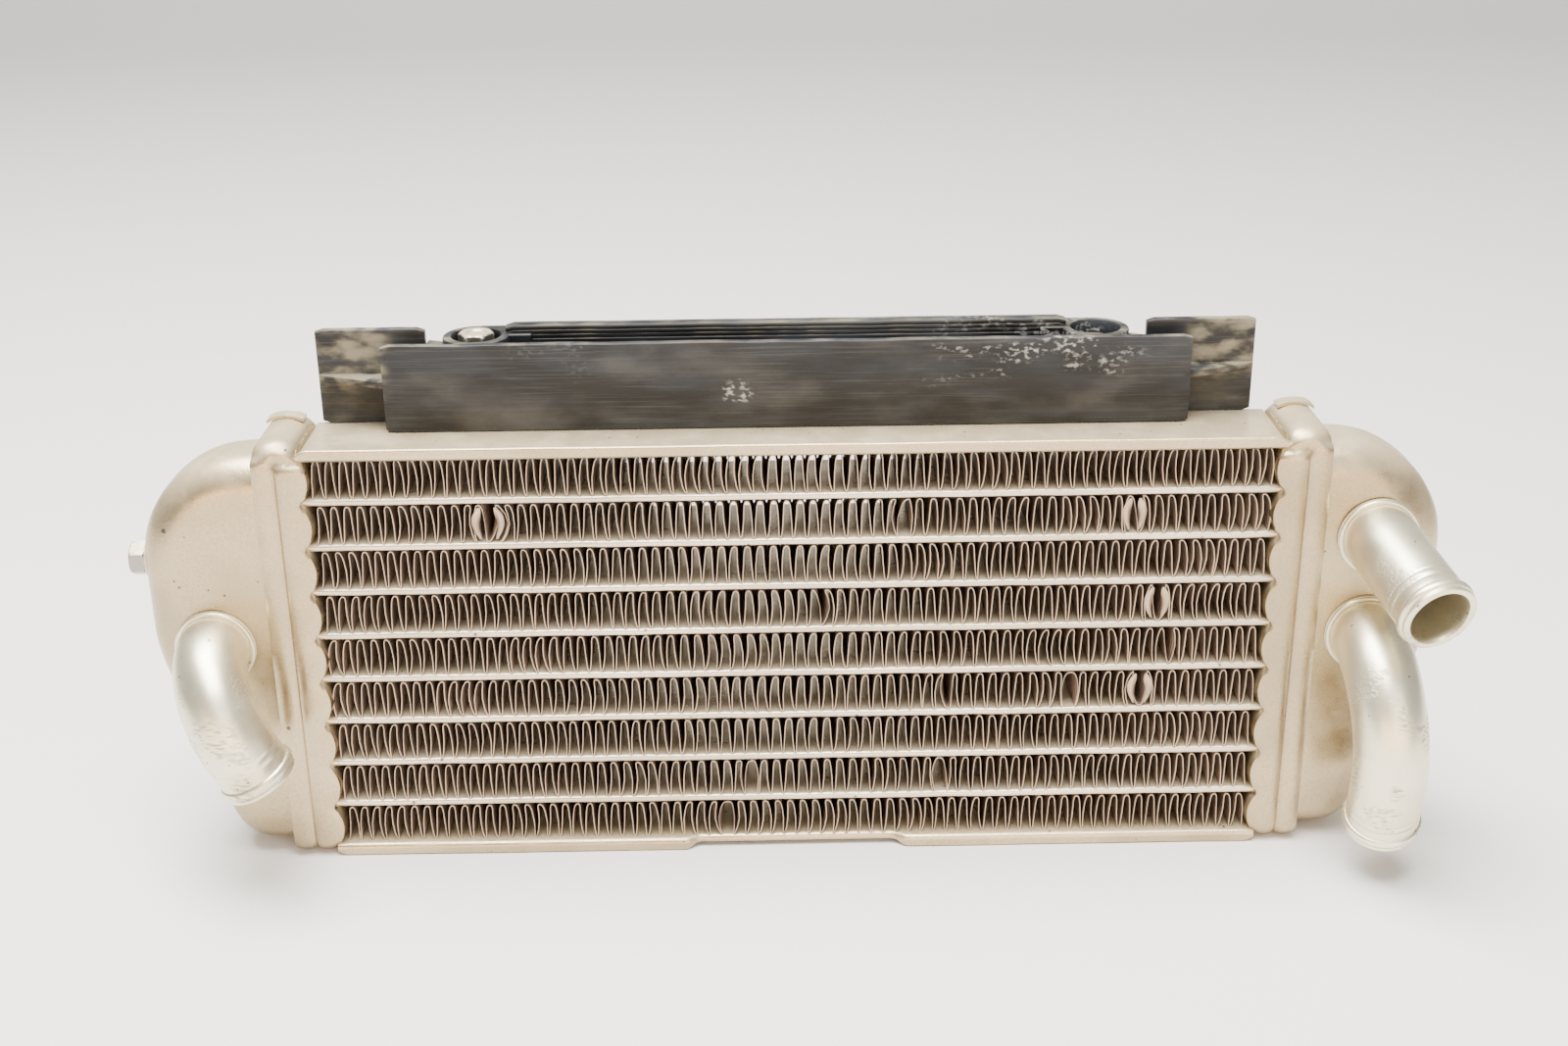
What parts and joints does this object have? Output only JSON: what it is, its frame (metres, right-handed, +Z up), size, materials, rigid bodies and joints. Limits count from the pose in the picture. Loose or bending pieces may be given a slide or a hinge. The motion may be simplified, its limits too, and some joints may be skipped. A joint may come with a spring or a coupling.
{
  "type": "coolant radiator",
  "caption": "Aluminium tube-and-fin coolant radiator with two end tanks, three hose pipes, a bleed screw and a plastic side carrier.",
  "frame": {"origin": "under the middle of the core, on the plane that the lower side plate's lip and the headers rest on", "axes": "+X along the coolant tubes towards the tank with two pipes, +Y from the pipes' side to the back, +Z up"},
  "size_m": [0.3299, 0.0726, 0.1353],
  "materials": {
    "tank_aluminium": "satin, bead blasted, dusty",
    "core_aluminium": "satin",
    "tube_aluminium": "satin",
    "fin_aluminium": "dull, dusty",
    "pipe_aluminium": "satin, scuffed",
    "washer_aluminium": "satin",
    "plated_steel": "zinc plated, worn",
    "black_plastic": "matte, scratched, dusty"
  },
  "bodies": {
    "radiator": {"coolant_tube_1": "tube_aluminium", "coolant_tube_2": "tube_aluminium", "coolant_tube_3": "tube_aluminium", "coolant_tube_4": "tube_aluminium", "coolant_tube_5": "tube_aluminium", "coolant_tube_6": "tube_aluminium", "coolant_tube_7": "tube_aluminium", "coolant_tube_8": "tube_aluminium", "fin_row_1": "fin_aluminium", "fin_row_2": "fin_aluminium", "fin_row_3": "fin_aluminium", "fin_row_4": "fin_aluminium", "fin_row_5": "fin_aluminium", "fin_row_6": "fin_aluminium", "fin_row_7": "fin_aluminium", "fin_row_8": "fin_aluminium", "fin_row_9": "fin_aluminium", "top_side_plate": "core_aluminium", "bottom_side_plate": "core_aluminium", "left_header": "tank_aluminium", "right_header": "tank_aluminium", "left_tank": "tank_aluminium", "right_tank": "tank_aluminium", "left_pipe": "pipe_aluminium", "right_upper_pipe": "pipe_aluminium", "right_lower_pipe": "pipe_aluminium", "left_pipe_collar": "pipe_aluminium", "right_upper_pipe_collar": "pipe_aluminium", "right_lower_pipe_collar": "pipe_aluminium", "bleed_bung": "tank_aluminium", "side_carrier": "black_plastic", "left_mount_bracket": "core_aluminium", "right_mount_bracket": "core_aluminium", "bracket_weld_nuts": "plated_steel", "carrier_bolt": "plated_steel"},
    "bleed_washer": {"bleed_washer": "washer_aluminium"},
    "bleed_screw": {"bleed_screw": "plated_steel"}
  },
  "joints": [
    {"name": "bleed_lift", "type": "slide", "parent": "radiator", "child": "bleed_washer", "axis": [-1, 0, 0], "range_m": [0, 0.006]},
    {"name": "bleed_turn", "type": "hinge", "parent": "bleed_washer", "child": "bleed_screw", "pos_m": [-0.1635, 0.002, 0.079], "axis": [-1, 0, 0], "range_deg": [0, 2160]}
  ],
  "couplings": [
    {"joint": "bleed_turn", "follows": "bleed_lift", "rad_per_m": 6283.2}
  ]
}
